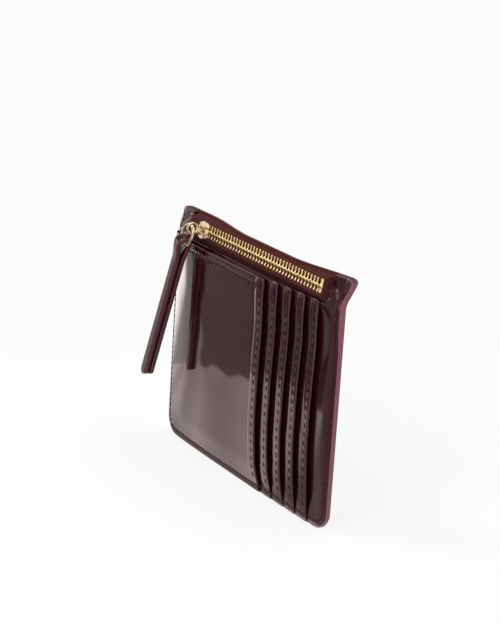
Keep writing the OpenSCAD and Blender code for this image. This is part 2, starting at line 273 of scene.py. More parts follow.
# of a slot's hem: each pinch is how deep it goes and how far it reaches (a stitch's dent
# slants by as much); the groove is how far in it lies and how wide it is; grooveFoot and
# grooveTop are a distance from the bottom or the top and the run over which it fades
hem = dict(width=5.6, rise=0.28, shoulder=0.8, pillow=0.2, foot=9.0, seam=2.7, pitch=3.8,
           seamPinch=(0.06, 0.5), stitchPinch=(0.07, 0.9), lift=0.35, liftReach=3.5,
           liftFoot=22.0, liftTop=14.0, arch=0.9, archWidth=0.62, archRise=0.35, archRun=3.0,
           archFrom=3.2, archShare=0.6, slope=0.15, slopeRun=3.9, groove=0.22,
           grooveAt=(7.0, 0.45), grooveFoot=(56.0, 5.0), grooveTop=(5, 3), pocketFoot=6,
           play=0.6, firstStitch=2, rowEnd=3.0)
# of the pocket's top edge: ridge and edge are a height, a place below the edge and a width
lip = dict(seam=3.6, pitch=3.0, ridge=(0.19, 2.2, 0.62), edge=(0.06, 1.0, 1.2), pucker=0.42,
           puckerReach=1.3, fromSide=1.0, fromSlot=3.0, endRun=2.0, play=0.6, rowStart=5)
# each wave's length and start, then how two of them drift and which way the third runs
wave = dict(depth=0.075, long=(47.0, 0.7), high=(38.0, -1.1), short=(23.0, 2.0),
            drift=(0.031, 0.045), slant=(0.8, 0.6), shares=(0.6, 0.35))
seamLine = dict(inset=2.4, depth=0.30, width=0.60, roll=0.42, pitch=2.5, thread=0.46, turn=14,
                play=0.4, fromTop=3.5, cardShare=0.5)
quiet = 0.4  # share of the waves that the smaller panels show


def ripple(x, z):  # slow waves, each a product of two sines, make the reflections wander
    def sine(run, length, start, drift=0.0):
        return np.sin(run * 2 * np.pi / length + start + drift)

    w = wave
    a = sine(x, *w["long"], z * w["drift"][0])
    b = sine(z, *w["high"], x * w["drift"][1])
    c = sine(x * w["slant"][0] + z * w["slant"][1], *w["short"])
    both = w["shares"][0] * a * b + w["shares"][1] * c * b
    return w["depth"] * both * sideFade(x) * bottomFade(z)


def fromOutline(x, z):  # distance in from the sides and the rounded bottom
    r = plies["cornerRadius"]
    qx = np.abs(x) - (sideX - r)
    qz = r - z
    corner = r - np.sqrt(np.maximum(qx, 0) ** 2 + np.maximum(qz, 0) ** 2)
    return np.where((qx > 0) & (qz > 0), corner, np.minimum(sideX - np.abs(x), z))


def outlinePinch(x, z):
    # the outline's seam pulls the leather in along a bell curve, and its margin rolls off
    s = seamLine
    d = fromOutline(x, z)
    return (s["depth"] * np.exp(-((d - s["inset"]) / s["width"]) ** 2)
            + s["roll"] * ease(1.0 - d / s["inset"]))


def pucker(along, across, pitch, slant, reach, width=0.55):
    # small dents, one bell curve at each stitch of a row
    u = (along - slant * across) / pitch
    u = (u - np.round(u)) * pitch
    return np.exp(-(u / width) ** 2 - (across / reach) ** 2)


def hemShape(d, z):
    # raised, turned edge along a slot, d in from the edge: a low pillow, pinched at its seam
    # and at each stitch, that slopes off at its inner shoulder and arches up at its top
    h = hem
    half = 0.5 * h["width"]
    inside = ease((h["width"] + 0.5 * h["shoulder"] - d) / h["shoulder"])
    pillow = 1.0 - h["pillow"] + h["pillow"] * np.clip(1.0 - ((d - half) / half) ** 2, 0, 1)
    (deep, wide), (dent, reach) = h["seamPinch"], h["stitchPinch"]
    off = d - h["seam"]
    pinch = deep * np.exp(-(off / wide) ** 2) + dent * pucker(z, off, h["pitch"], reach, reach)
    top = ease((z - pocketTop + h["archFrom"]) / h["archRun"])
    arch = h["archRise"] * bell((d - half) / (h["archShare"] * h["width"])) * top
    return ease(z / h["foot"]) * (h["rise"] * inside * pillow - pinch) + arch


def hollowBehind(d, z):  # between a hem and the next edge the leather dips under that edge
    run = np.clip(d - hem["width"], 0.0, hem["slopeRun"])
    return hem["slope"] * run * cardPly(z) / plies["card"]


def edgeLift(d, z):  # the slots stand a little open between their ends
    h = hem
    return (h["lift"] * np.exp(-(np.maximum(d, 0) / h["liftReach"]) ** 2)
            * ease(z / h["liftFoot"]) * ease((pocketTop - z) / h["liftTop"]))


def cardFront(x, z, k):
    d = slotEdges[k - 1] - x
    return (cardBack(x, z, k) - cardPly(z) - hemShape(d, z) - edgeLift(d, z)
            + hollowBehind(d, z) + quiet * ripple(x, z)
            + seamLine["cardShare"] * outlinePinch(x, z))


def pocketFront(x, z):
    # the pocket's face: a lip with a ridge and a row of puckers below the top edge, a
    # groove behind its slot hem, the outline's pinch, and slow waves
    h = hem
    d = frontEdge - x
    t = pocketTop - z
    (rise, ridge, ridgeWidth), (edgeRise, edge, edgeWidth) = lip["ridge"], lip["edge"]
    inner = (ease((x + sideX - lip["fromSide"]) / lip["endRun"])
             * ease((d - lip["fromSlot"]) / lip["endRun"]))
    dents = pucker(x, z - (pocketTop - lip["seam"]), lip["pitch"], -1.0, lip["puckerReach"])
    lipRow = (rise * np.exp(-((t - ridge) / ridgeWidth) ** 2)
              + edgeRise * bell((t - edge) / edgeWidth) - lip["pucker"] * dents) * inner
    grooveD, grooveWidth = h["grooveAt"]
    (foot, footRun), (top, topRun) = h["grooveFoot"], h["grooveTop"]
    groove = (h["groove"] * np.exp(-((d - grooveD) / grooveWidth) ** 2)
              * ease((z - foot) / footRun) * ease((pocketTop - top - z) / topRun))
    return (frontBack(x, z) - plies["front"] - hemShape(d, z) * ease(z / h["pocketFoot"])
            - edgeLift(d, z) - lipRow + groove + outlinePinch(x, z) + ripple(x, z))


# where the creases start or end and over which run: from the middle, the side, the bottom
# and the top
earFold = dict(height=0.22, pitch=4.6, inner=(58.2, 2.0), outer=(0.8, 2.0), foot=(96.0, 4.0),
               top=(1.2, 1.5), way=(0.62, 0.78), drift=0.02)
bandDip = dict(slope=0.09, fromX=64.5, run=9.5, left=(50.0, 4.0), foot=14.0, top=8.0)


def earFolds(x, z):  # slanting creases in the two ears, a sine across them
    e = earFold
    side = np.abs(x)
    inner, outer, foot, top = (e[key] for key in ("inner", "outer", "foot", "top"))
    fade = (ease((side - inner[0]) / inner[1]) * ease((sideX - outer[0] - side) / outer[1])
            * ease((z - foot[0]) / foot[1]) * ease((topZ - top[0] - z) / top[1]))
    across = e["way"][0] * side + e["way"][1] * z
    return e["height"] * fade * np.sin(across * 2 * np.pi / e["pitch"] + e["drift"] * x)


def basePanelFront(x, z):  # the base dips towards the last slot, and its ears are creased
    b = bandDip
    left, leftRun = b["left"]
    dip = (b["slope"] * np.clip(b["fromX"] - x, 0.0, b["run"]) * ease((x - left) / leftRun)
           * ease(z / b["foot"]) * ease((pocketTop - z) / b["top"]))
    return baseFront(x, z) + dip + outlinePinch(x, z) + quiet * ripple(x, z) - earFolds(x, z)


def backPanelBack(x, z):
    return behind(x, z, seamBack) - outlinePinch(x, z) - quiet * ripple(x, z)


def outerFront(x, z):  # whichever ply lies outermost at each place
    y = basePanelFront(x, z)
    for k in cards:
        y = np.where((x < slotEdges[k - 1]) & (z < pocketTop), cardFront(x, z, k), y)
    return np.where((x < frontEdge) & (z < pocketTop), pocketFront(x, z), y)


def makeObject(name, points, quads, materials, faceSlots=None, smooth=True):
    mesh = bpy.data.meshes.new(name)
    points = np.asarray(points, dtype=np.float64).reshape(-1, 3) * mm
    mesh.from_pydata(points.tolist(), [], np.asarray(quads, dtype=np.int32).tolist())
    for material in materials:
        mesh.materials.append(material)
    if faceSlots is not None:
        mesh.polygons.foreach_set("material_index", np.asarray(faceSlots, dtype=np.int32))
    mesh.polygons.foreach_set("use_smooth", np.full(len(mesh.polygons), smooth))
    mesh.validate()
    mesh.update()
    obj = bpy.data.objects.new(name, mesh)
    bpy.context.scene.collection.objects.link(obj)
    return obj


def finishPiece(obj, body, slotName, *nodes):
    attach(obj, body)
    if nodes:
        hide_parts(*nodes)
    return obj


def cornerDrop(x, radius):  # how far a rounded corner falls away beyond where it starts
    d = np.abs(x) - (sideX - radius)
    fall = radius - np.sqrt(np.maximum(0, radius * radius - np.maximum(d, 0) ** 2))
    return np.where(d > 0, fall, 0.0)


def rowHeight(x, z):  # rows rise over the rounded bottom corners and drop at the top ones
    rise = cornerDrop(x, plies["cornerRadius"]) * (1 - ease(z / (plies["cornerShare"] * pocketTop)))
    drop = cornerDrop(x, plies["topCornerRadius"])
    return z + rise - drop * ease((z - pocketTop) / (topZ - pocketTop))


def gridQuads(rows, columns, around=False):
    # the four corners of each cell of a grid, row by row; around joins each row's ends
    i, j = np.meshgrid(np.arange(rows - 1), np.arange(columns - (not around)), indexing="ij")
    k = (j + 1) % columns
    cells = [i * columns + j, i * columns + k, (i + 1) * columns + k, (i + 1) * columns + j]
    return np.stack(cells, -1).reshape(-1, 4)


def repeated(quads, count, size):  # the same cells for each of a count of equal shapes
    return (quads[None] + (np.arange(count) * size)[:, None, None]).reshape(-1, 4)


def ring(sections, roundness=1.0):  # cosines and sines round a section, squarer below 1
    angle = np.arange(sections) / sections * 2 * np.pi
    return [np.sign(w) * np.abs(w) ** roundness for w in (np.cos(angle), np.sin(angle))]


def buildSheet(name, xs, zs, front, back, materials, keep=None, topShape=None, inset=0.22,
               levels=7, fullness=0.6):
    # a front and a back grid over the same lines, joined by a rounded, painted edge:
    # each edge point lies between them, pushed out by a half sine wave
    total = len(xs) * len(zs)
    gx, gz = np.meshgrid(xs, zs, indexing="ij")
    gz = rowHeight(gx, gz)
    if topShape is not None:
        gz = gz + topShape(gx, gz)
    cx, cz = (0.25 * (g[:-1, :-1] + g[1:, :-1] + g[:-1, 1:] + g[1:, 1:]) for g in (gx, gz))
    cells = np.ones(cx.shape, bool) if keep is None else keep(cx, cz)
    ids = np.arange(total).reshape(gx.shape)
    pad = np.pad(cells, 1)
    a, b, c, d = ids[:-1, :-1], ids[1:, :-1], ids[1:, 1:], ids[:-1, 1:]
    quads = np.stack([a, b, c, d], -1)[cells]
    sides = [(a, b, pad[1:-1, :-2]), (b, c, pad[2:, 1:-1]), (c, d, pad[1:-1, 2:]),
             (d, a, pad[:-2, 1:-1])]
    edges = np.concatenate([np.stack([p, q], -1)[cells & ~beyond] for p, q, beyond in sides])
    flatX, flatZ = gx.ravel().copy(), gz.ravel().copy()
    along = np.stack([flat[edges[:, 1]] - flat[edges[:, 0]] for flat in (flatX, flatZ)], -1)
    along /= np.maximum(np.linalg.norm(along, axis=1, keepdims=True), 1e-9)
    out = np.zeros((total, 2))
    for end in (0, 1):
        np.add.at(out, edges[:, end], np.stack([along[:, 1], -along[:, 0]], -1))
    out /= np.maximum(np.linalg.norm(out, axis=1, keepdims=True), 1e-9)
    rim = np.unique(edges)
    rimX, rimZ = flatX[rim].copy(), flatZ[rim].copy()
    flatX[rim] -= inset * out[rim, 0]
    flatZ[rim] -= inset * out[rim, 1]
    frontY, backY = front(flatX, flatZ), back(flatX, flatZ)
    points = [np.stack([flatX, y, flatZ], -1) for y in (frontY, backY)]
    place = np.zeros(total, int)
    place[rim] = np.arange(len(rim))
    rings = [edges]
    for level in range(1, levels):
        s = level / levels
        push = inset * (np.sin(np.pi * s) ** fullness - 1.0)
        y = frontY[rim] + (backY[rim] - frontY[rim]) * s
        points.append(np.stack([rimX + push * out[rim, 0], y, rimZ + push * out[rim, 1]], -1))
        rings.append(2 * total + (level - 1) * len(rim) + place[edges])
    rings.append(edges + total)
    walls = [np.stack([p[:, 0], q[:, 0], q[:, 1], p[:, 1]], -1)
             for p, q in zip(rings[:-1], rings[1:])]
    faces = np.concatenate([quads, quads[:, ::-1] + total] + walls)
    slots = np.zeros(len(faces))
    slots[2 * len(quads):] = len(materials) - 1
    points = np.concatenate(points)
    used = np.unique(faces)
    remap = np.zeros(len(points), int)
    remap[used] = np.arange(len(used))
    return makeObject(name, points[used], remap[faces], materials, slots)


def merged(*parts, gap=0.24):  # all the values in order, without those that crowd the last
    values = np.unique(np.concatenate([np.asarray(p, float).ravel() for p in parts]))
    kept = [values[0]]
    for v in values[1:-1]:
        if v - kept[-1] > gap and values[-1] - v > gap:
            kept.append(v)
    return np.array(kept + [values[-1]])


def lines(low, high, step, fine=(), fineStep=0.6, fineReach=1.2, ends=(0.3, 0.6)):
    # spaced values from low to high, closer near the places named in fine and at both ends
    values = list(np.linspace(low, high, max(2, int(round((high - low) / step)) + 1)))
    for f in fine:
        values += list(np.arange(f - fineReach, f + fineReach + 1e-6, fineStep))
    for e in ends:
        values += [low + e, high - e]
    return merged([v for v in values if low - 1e-6 <= v <= high + 1e-6])


def cornerLines(step=7.5):  # columns at even angles round the bottom corners
    r = plies["cornerRadius"]
    arc = sideX - r + r * np.sin(np.radians(np.arange(0, 91, step)))
    return np.concatenate([arc, -arc])


def sweepTube(path, widths, depths, sideways, sections=12, roundness=1.0):
    # an oval carried along a path: at each place its half width lies along
    # sideways and its half depth along the normal of path and sideways
    tangent = np.gradient(path, axis=0)
    tangent /= np.linalg.norm(tangent, axis=1, keepdims=True)
    side = np.broadcast_to(np.asarray(sideways, float), path.shape)
    side = side - tangent * np.sum(side * tangent, 1, keepdims=True)
    side = side / np.linalg.norm(side, axis=1, keepdims=True)
    normal = np.cross(tangent, side)
    ca, sa = ring(sections, roundness)
    widths, depths = (np.broadcast_to(np.asarray(w, float), len(path))[:, None]
                      for w in (widths, depths))
    points = (path[:, None] + side[:, None] * (widths * ca)[..., None]
              + normal[:, None] * (depths * sa)[..., None])
    return points.reshape(-1, 3), gridQuads(len(path), sections, around=True)


def addNode(tree, kind, inputs=(), **settings):
    # inputs maps a socket's name or number to its value, or to the output that feeds it
    node = tree.nodes.new("ShaderNode" + kind)
    for key, value in settings.items():
        setattr(node, key, value)
    for key, value in dict(inputs).items():
        if isinstance(value, bpy.types.NodeSocket):
            tree.links.new(value, node.inputs[key])
        else:
            node.inputs[key].default_value = value
    return node


def addMath(tree, operation, *terms, kind="Math"):
    return addNode(tree, kind, enumerate(terms), operation=operation).outputs["Value"]


def addRamp(tree, value, start, end, low=0.0, high=1.0, kind="LINEAR"):
    ends = {"From Min": start, "From Max": end, "To Min": low, "To Max": high}
    return addNode(tree, "MapRange", {"Value": value, **ends}, interpolation_type=kind).outputs[0]


def newGroup(name, inputs, outputs):
    group = bpy.data.node_groups.new(name, "ShaderNodeTree")
    for label, value in inputs.items():
        socket = group.interface.new_socket(name=label, in_out="INPUT",
                                            socket_type="NodeSocketFloat")
        socket.default_value = value
    for label in outputs:
        group.interface.new_socket(name=label, in_out="OUTPUT", socket_type="NodeSocketFloat")
    return group, group.nodes.new("NodeGroupInput").outputs, group.nodes.new("NodeGroupOutput")


def finishGroup(group, end, **feeds):
    for label, output in feeds.items():
        group.links.new(output, end.inputs[label])
    return group


def grainGroup():  # fine pores and slow dents as one height
    group, given, end = newGroup(
        "leatherGrain", {"Fine scale": 900.0, "Dent scale": 60.0, "Dent share": 0.6},
        ("Height", "Mottle"))
    place = addNode(group, "TexCoord").outputs["Object"]
    fine, dent = (
        addNode(group, "TexNoise", {"Vector": place, "Scale": given[scale], "Detail": detail})
        .outputs["Fac"] for scale, detail in (("Fine scale", 2.0), ("Dent scale", 1.0)))
    mix = addNode(group, "Mix", {0: given["Dent share"], 2: fine, 3: dent}, data_type="FLOAT")
    return finishGroup(group, end, Height=mix.outputs[0], Mottle=dent)


def twillGroup():  # woven diagonal ribs as a height and a light and dark mask
    group, given, end = newGroup("clothTwill", {"Rib scale": 900.0}, ("Height", "Mask"))
    place = addNode(group, "TexCoord").outputs["Object"]
    warp, cross = (
        addNode(group, "TexWave",
                {"Vector": place, "Scale": given["Rib scale"], "Distortion": distortion},
                wave_type="BANDS", bands_direction=way).outputs["Fac"]
        for way, distortion in (("DIAGONAL", 0.6), ("X", 0.4)))
    return finishGroup(group, end, Height=addMath(group, "MULTIPLY", warp, cross), Mask=warp)


leatherGrain = grainGroup()
clothTwill = twillGroup()
paintTop = dict(below=1.6, above=0.6)  # where the edge paint changes under the top edge


def surfaceMaterial(name, dark, light, bump, grain=None, ribs=None, mask="Mottle", **sockets):
    # a Principled surface with the grain or the twill as its bump; its colour runs from dark
    # to light by the pattern's mask, or up through the wallet's top edge
    material = bpy.data.materials.new(name)
    material.use_nodes = True
    tree = material.node_tree
    shader = tree.nodes["Principled BSDF"]
    shader.inputs["Base Color"].default_value = (*dark, 1.0)
    for key, value in sockets.items():
        shader.inputs[key.replace("_", " ")].default_value = value
    if grain:
        scales = zip(("Fine scale", "Dent scale", "Dent share"), grain)
        pattern = addNode(tree, "Group", node_tree=leatherGrain)
    else:
        scales = [("Rib scale", ribs)]
        pattern = addNode(tree, "Group", node_tree=clothTwill)
    for label, value in scales:
        pattern.inputs[label].default_value = value
    if mask == "top":
        place = addNode(tree, "TexCoord").outputs["Object"]
        height = addNode(tree, "SeparateXYZ", {0: place}).outputs["Z"]
        share = addRamp(tree, height, *((topZ - paintTop[k]) * mm for k in ("below", "above")))
    else:
        share = pattern.outputs[mask]
    mix = addNode(tree, "Mix", {0: share, 6: (*dark, 1.0), 7: (*light, 1.0)}, data_type="RGBA")
    tree.links.new(mix.outputs[2], shader.inputs["Base Color"])
    relief = addNode(tree, "Bump", {"Height": pattern.outputs["Height"], "Strength": bump[0],
                                    "Distance": bump[1]})
    tree.links.new(relief.outputs["Normal"], shader.inputs["Normal"])
    return material


# grain holds the pores' scale, the dents' scale and the dents' share; bump its strength and
# its distance in metres
patentLook = dict(
    dark=(0.013, 0.0018, 0.0026), light=(0.024, 0.0032, 0.0048), grain=(1400.0, 70.0, 0.85),
    bump=(0.12, 0.0006), Roughness=0.07, Specular_IOR_Level=0.85,
    Specular_Tint=(1.0, 0.72, 0.69, 1.0), Coat_Weight=1.0, Coat_Roughness=0.03, Coat_IOR=1.35)
shadedSlotLook = dict(  # the pockets' own edges: the same paint made darker, as painted shade for the slots' recesses, and glossier
    dark=(0.060, 0.012, 0.020), light=(0.100, 0.023, 0.036), grain=(2500.0, 400.0, 0.6),
    bump=(0.3, 0.0002), Roughness=0.34, Coat_Weight=0.5)
paintLook = dict(  # sealed leather edges, with another tone along the wallet's top
    grain=(2500.0, 500.0, 0.5), bump=(0.3, 0.0002), mask="top", Roughness=0.45, Coat_Weight=0.08)
threadLook = dict(grain=(6000.0, 1500.0, 0.4), bump=(0.5, 0.0001), mask="Height",
                  Roughness=0.6, Specular_IOR_Level=0.12)
clothLook = dict(bump=(0.6, 0.00012), mask="Mask", Specular_IOR_Level=0.07, Sheen_Weight=0.02)
metalLook = dict(grain=(2200.0, 350.0, 0.5), bump=(0.08, 0.0001), Metallic=1.0)

patentLeather = surfaceMaterial("patentLeather", **patentLook)
shadedSlotPaint = surfaceMaterial("slotEdgePaintShaded", **shadedSlotLook)
edgePaint, outlinePaint, strapPaint = (
    surfaceMaterial(name, dark, light, **paintLook) for name, dark, light in (
        ("edgePaint", (0.205, 0.052, 0.080), (0.160, 0.060, 0.036)),
        ("outlinePaint", (0.205, 0.052, 0.080), (0.060, 0.014, 0.018)),
        ("strapEdgePaint", (0.095, 0.021, 0.032), (0.095, 0.021, 0.032))))
seamThread, ropeThread, tackThread, rawEdge = (
    surfaceMaterial(name, dark, light, **threadLook) for name, dark, light in (
        ("seamThread", (0.022, 0.004, 0.007), (0.046, 0.009, 0.014)),
        ("ropeThread", (0.045, 0.007, 0.012), (0.090, 0.016, 0.024)),
        ("tackThread", (0.30, 0.07, 0.12), (0.48, 0.15, 0.22)),
        ("rawEdge", (0.085, 0.016, 0.010), (0.190, 0.042, 0.022))))
zipCloth = surfaceMaterial("zipTapeWeave", (0.046, 0.0085, 0.0080), (0.088, 0.020, 0.017),
                           ribs=1500.0, Roughness=0.75, **clothLook)
liningCloth = surfaceMaterial("liningWeave", (0.045, 0.008, 0.014), (0.075, 0.014, 0.024),
                              ribs=1100.0, Roughness=0.85, **clothLook)
paleGold = surfaceMaterial("paleGold", (0.88, 0.68, 0.40), (1.0, 0.89, 0.69), Roughness=0.16,
                           **metalLook)
zipBrass = surfaceMaterial("zipBrass", (0.80, 0.52, 0.20), (0.98, 0.79, 0.45), Roughness=0.20,
                           **metalLook)
print("materials ready")

# spacing of the grids' lines over the panels and in their ears; for the pockets the reach of
# the close lines beside an edge, then the wide and the close spacing
grid = dict(columns=2.4, rows=2.6, ears=0.8, earsUp=0.7, cardColumns=(11.0, 3.0, 0.45),
            cardRows=(4, 0.95, 0.45), pocketColumns=(9.0, 0.75, 0.3), pocketRows=(7.0, 1.0, 0.35))
panelColumns = merged(lines(-sideX, sideX, grid["columns"]),
                      lines(-sideX, zipWindow["left"], grid["ears"]),
                      lines(zipWindow["right"], sideX, grid["ears"]),
                      cornerLines(), [zipWindow["left"], zipWindow["right"]])
panelRows = merged(lines(0, topZ, grid["rows"], fine=(pocketTop,)),
                   lines(earFold["foot"][0], topZ, grid["earsUp"]), [rollZ, pocketTop])


def twoSpacings(low, high, reach, wide, close):
    return [lines(low, high - reach, wide), lines(high - reach, high, close)]


def backPanel():
    obj = buildSheet("backPanel", panelColumns, panelRows,
                     lambda x, z: behind(x, z, seamBack - plies["back"]), backPanelBack,
                     [patentLeather, edgePaint], inset=0.3)
    return finishPiece(obj, "wallet", "patent_leather", "back_panel")


def lining(name, node, rows, side, y):
    obj = buildSheet(name, panelColumns[::2], rows, lambda x, z: side(x, z, y - plies["lining"]),
                     lambda x, z: side(x, z, y), [liningCloth], inset=0.08, levels=3)
    return finishPiece(obj, "wallet", "lining_cloth", node)


def basePanel():
    def keep(x, z):
        return (z < pocketTop) | (x < zipWindow["left"]) | (x > zipWindow["right"])

    obj = buildSheet("basePanel", panelColumns, panelRows, basePanelFront, baseBack,
                     [patentLeather, edgePaint], keep=keep, inset=0.3)
    polygons = obj.data.polygons  # the turned edge round the zip isn't painted
    middles, slots = np.empty(3 * len(polygons)), np.empty(len(polygons), np.int32)
    polygons.foreach_get("center", middles)
    polygons.foreach_get("material_index", slots)
    x, _, z = middles.reshape(-1, 3).T / mm
    slots[(np.abs(x) < zipWindow["right"] + 1.0) & (z > 0.5 * pocketTop)] = 0
    polygons.foreach_set("material_index", slots)
    return finishPiece(obj, "wallet", "patent_leather", "base_panel")


def archTop(edge):  # the turned edge's mouth stands up as a small arch
    def shape(x, z):
        hump = bell((edge - x - 0.5 * hem["width"]) / (hem["archWidth"] * hem["width"]))
        return hem["arch"] * hump * ease((z - pocketTop + hem["archRun"]) / hem["archRun"])
    return shape


def cardPanel(k):
    edge, tail = slotEdges[k - 1], slotTails[k - 1]
    columns = merged(*twoSpacings(tail, edge, *grid["cardColumns"]))
    rows = merged(*twoSpacings(0, pocketTop, *grid["cardRows"]))
    obj = buildSheet("cardPanel%d" % k, columns, rows, lambda x, z: cardFront(x, z, k),
                     lambda x, z: cardBack(x, z, k) - edgeLift(edge - x, z),
                     # the rims take the darker slot paint, painted shade for the slot recesses
                     [patentLeather, shadedSlotPaint], topShape=archTop(edge), inset=0.2)
    return finishPiece(obj, "wallet", "patent_leather", "card_panel_%d" % k)


def frontPocket():
    columns = merged(*twoSpacings(-sideX, frontEdge, *grid["pocketColumns"]),
                     [c for c in cornerLines() if c < 0])
    rows = merged(*twoSpacings(0, pocketTop, *grid["pocketRows"]))
    obj = buildSheet("frontPocket", columns, rows, pocketFront,
                     lambda x, z: frontBack(x, z) - edgeLift(frontEdge - x, z),
                     [patentLeather, shadedSlotPaint], inset=0.25)
    return finishPiece(obj, "wallet", "patent_leather", "front_pocket")


backObject = backPanel()
lining("backLining", "back_lining", panelRows, behind, backLiningY)
lining("frontLining", "front_lining", lines(0, pocketTop, grid["rows"]), ahead, frontLiningY)
baseObject = basePanel()
cardObjects = [cardPanel(k) for k in cards]
pocketObject = frontPocket()
print("leather panels ready")

edgeBand = dict(bulge=0.12, bury=0.5, power=9, step=0.8, within=0.3, sink=0.06,
                ends=(0.7, 1.5), bare=(1.2, 0.8), earEnd=0.6, turnStep=5, earTurnStep=15,
                share=(0, 0.02, 0.05, 0.1, 0.2, 0.35, 0.5, 0.65, 0.8, 0.9, 0.95, 0.98, 1.0))


def outlinePath(inset, top, step, overEars=False):
    # down the left side, round the bottom corners and up the right side, evenly spaced; it
    # may start and end on the ears' tops, round their small corners
    radius = plies["cornerRadius"]
    turn = np.radians(np.arange(0, 91, edgeBand["turnStep"]))
    left = np.stack([radius - sideX - (radius - inset) * np.cos(turn),
                     radius - (radius - inset) * np.sin(turn)], -1)
    ear = np.array([[-sideX + inset, top]])
    if overEars:
        q = plies["topCornerRadius"]
        small = np.radians(np.arange(90, -1, -edgeBand["earTurnStep"]))
        ear = np.stack([-sideX + q - q * np.cos(small), topZ - q + q * np.sin(small)], -1)
        ear = np.concatenate([[[zipWindow["left"] - edgeBand["earEnd"], topZ]], ear])
    left = np.concatenate([ear, left])
    path = np.concatenate([left, left[::-1] * (-1, 1)])
    length = np.concatenate([[0], np.cumsum(np.linalg.norm(np.diff(path, axis=0), axis=1))])
    at = np.linspace(0, length[-1], int(round(length[-1] / step)) + 1)
    places = np.stack([np.interp(at, length, path[:, i]) for i in (0, 1)], -1)
    ways = np.gradient(places, axis=0)
    return places, ways / np.linalg.norm(ways, axis=1, keepdims=True)


def paintedOutline():
    # a flat, slightly bulged profile carried along the outline closes the plies' edges:
    # across it the offset is the bulge less a steep power of the distance from its middle
    e = edgeBand
    places, ways = outlinePath(0.0, topZ, e["step"], overEars=True)
    outX, outZ = ways[:, 1], -ways[:, 0]
    share = np.array(e["share"])
    offset = e["bulge"] - e["bury"] * np.abs(2 * share - 1) ** e["power"]
    x, z = places[:, 0], places[:, 1]
    inX, inZ = x - e["within"] * outX, z - e["within"] * outZ
    low = outerFront(inX, inZ) + e["sink"]
    high = backPanelBack(inX, inZ) - e["sink"]
    bare, bareRun = e["bare"]  # the back panel's own rim stays bare at the top
    high = high - ease((z - topZ + bare) / bareRun)
    count = np.arange(len(x))
    deep, run = e["ends"]
    sunk = deep * (1 - ease(np.minimum(count, count[::-1]) * e["step"] / run))
    far = offset[None] - sunk[:, None]
    points = np.stack([x[:, None] + outX[:, None] * far,
                       low[:, None] + (high - low)[:, None] * share[None],
                       z[:, None] + outZ[:, None] * far], -1)
    obj = makeObject("paintedOutline", points, gridQuads(*far.shape), [outlinePaint])
    return finishPiece(obj, "wallet", "patent_leather")


outlineObject = paintedOutline()
print("painted outline ready")

# of a hem's mouth: the bead's run and radius, and how the strip starts behind and below the
# bead and ends behind the ply's face
mouth = dict(span=4.2, fromEdge=0.5, out=0.75, up=0.75, radius=0.40, lip=1.1, steps=21, trim=3,
             faceAt=0.9, sink=0.1, thin=0.03, behind=0.55, below=0.25, bury=0.12, stripSteps=7)


def hemMouth(k):
    # a rolled bead follows half a sine over the hem's top, and the raw edge inside it is a
    # small curved strip between the bead and the ply
    m = mouth
    t = np.linspace(0, 1, m["steps"])
    x = slotEdges[k - 1] - m["fromEdge"] - m["span"] * (1 - t)
    ground = cardFront(x, np.full_like(x, pocketTop - m["faceAt"]), k)
    y = ground - m["out"] * np.sin(np.pi * t) + m["sink"]
    z = pocketTop - m["sink"] + m["up"] * np.sin(np.pi * t)
    thick = m["radius"] * np.sqrt(np.clip(np.sin(np.pi * t), m["thin"], 1))
    points, quads = sweepTube(np.stack([x, y, z], -1), thick, thick, (0, 0, 1))
    bead = makeObject("hemMouth%d" % k, points, quads, [patentLeather])
    finishPiece(bead, "wallet", "patent_leather")
    s = np.linspace(0, 1, m["stripSteps"])[None]
    x, y, z, thick, ground = (v[m["trim"]:-m["trim"], None] for v in (x, y, z, thick, ground))
    strip = np.stack([x + 0 * s,
                      (y - m["behind"] * thick) * (1 - s) + (ground - m["bury"]) * s,
                      (z - m["below"]) * (1 - s) + (pocketTop - m["lip"]) * s], -1)
    raw = makeObject("hemMouthEdge%d" % k, strip, gridQuads(*strip.shape[:2]), [rawEdge])
    finishPiece(raw, "wallet", "patent_leather")


for k in cards:
    hemMouth(k)
print("hem mouths ready")

thread = dict(radius=0.30, length=2.4, lift=0.20, sink=0.10, slant=-52.0, topRadius=0.38,
              slotRadius=0.24, slotLength=2.8, slotSlant=20, points=9, sections=8, flat=0.8)


def stitchRow(name, places, ways, surface, material, outward=-1.0, length=thread["length"],
              radius=thread["radius"]):
    # each stitch is an oval tube over a shallow arc: its height follows a cosine along it
    # and its thickness falls to nothing at both ends
    t = thread
    s = np.linspace(-1, 1, t["points"])
    x, z = (places[:, i, None] + ways[:, i, None] * s * length / 2 for i in (0, 1))
    y = surface(x, z) + outward * (t["lift"] * np.cos(s * np.pi / 2) - t["sink"])[None]
    thick = (radius * np.sqrt(np.clip(1.0 - np.abs(s) ** 3, 0.004, 1)))[:, None]
    ca, sa = ring(t["sections"])
    points = np.stack([x[..., None] - ways[:, 1, None, None] * thick * ca,
                       y[..., None] + t["flat"] * thick * sa,
                       z[..., None] + ways[:, 0, None, None] * thick * ca], -1)
    cells = gridQuads(t["points"], t["sections"], around=True)[:, [0, 3, 2, 1]]
    quads = repeated(cells, len(places), t["points"] * t["sections"])
    obj = makeObject(name, points, quads, [material])
    return finishPiece(obj, "wallet", "patent_leather")


def turned(ways, degrees):
    c, s = math.cos(math.radians(degrees)), math.sin(math.radians(degrees))
    return np.stack([ways[:, 0] * c - ways[:, 1] * s, ways[:, 0] * s + ways[:, 1] * c], -1)


def nearTo(value, middle, reach):  # an image point's place, kept close to the planned one
    return float(np.clip(value, middle - reach, middle + reach))


